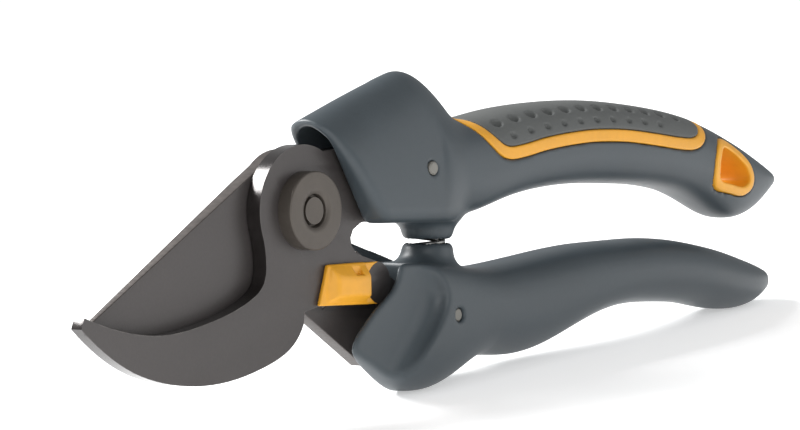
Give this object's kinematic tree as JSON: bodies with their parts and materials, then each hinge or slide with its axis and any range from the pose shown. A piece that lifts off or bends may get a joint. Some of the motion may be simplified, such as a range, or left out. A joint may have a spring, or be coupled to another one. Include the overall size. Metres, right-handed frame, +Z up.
{
  "type": "bypass pruner",
  "caption": "Hand-held bypass pruner, locked shut: hooked anvil plate and curved blade on one pivot bolt, two handles, return spring, sliding lock and hang hole.",
  "frame": {"origin": "on the pivot axis, on the sliding plane between the hook plate and the blade", "axes": "+X from the jaws towards the handles, +Y from the hook side to the blade side along the pivot axis, +Z up from the lower handle to the upper handle"},
  "size_m": [0.207, 0.0194, 0.0585],
  "materials": {
    "handle_nylon": "satin, fine moulded texture",
    "grip_rubber": "matte, dimpled",
    "accent_yellow": "satin",
    "coated_steel": "satin low-friction coating",
    "bright_steel": "ground",
    "pivot_steel": "satin coating, turned face",
    "bush_bronze": "satin",
    "spring_steel": "plated wire"
  },
  "bodies": {
    "upper": {"upper_handle": "handle_nylon", "soft_grip": "grip_rubber", "accent_band": "accent_yellow", "hang_hole_liner": "accent_yellow", "hook_blade": "coated_steel", "upper_tang_pin": "bright_steel", "pivot_bolt": "pivot_steel", "pivot_nut": "pivot_steel", "pivot_washer": "bright_steel", "upper_spring_seat": "bright_steel", "return_spring": "spring_steel"},
    "lower": {"lower_handle": "handle_nylon", "cutting_blade": "coated_steel", "pivot_bush": "bush_bronze", "lower_tang_pin": "bright_steel", "lower_spring_seat": "bright_steel"},
    "lock": {"lock_button": "accent_yellow", "lock_pin": "bright_steel", "lock_clip": "spring_steel", "lock_wave_washer": "spring_steel"}
  },
  "joints": [
    {"name": "blade_pivot", "type": "hinge", "parent": "upper", "child": "lower", "pos_m": [0, 0, 0], "axis": [0, 1, 0], "range_deg": [0, 33], "deforming": ["return_spring"]},
    {"name": "lock_slide", "type": "slide", "parent": "upper", "child": "lock", "axis": [1, 0, 0], "range_m": [0, 0.0032]}
  ]
}
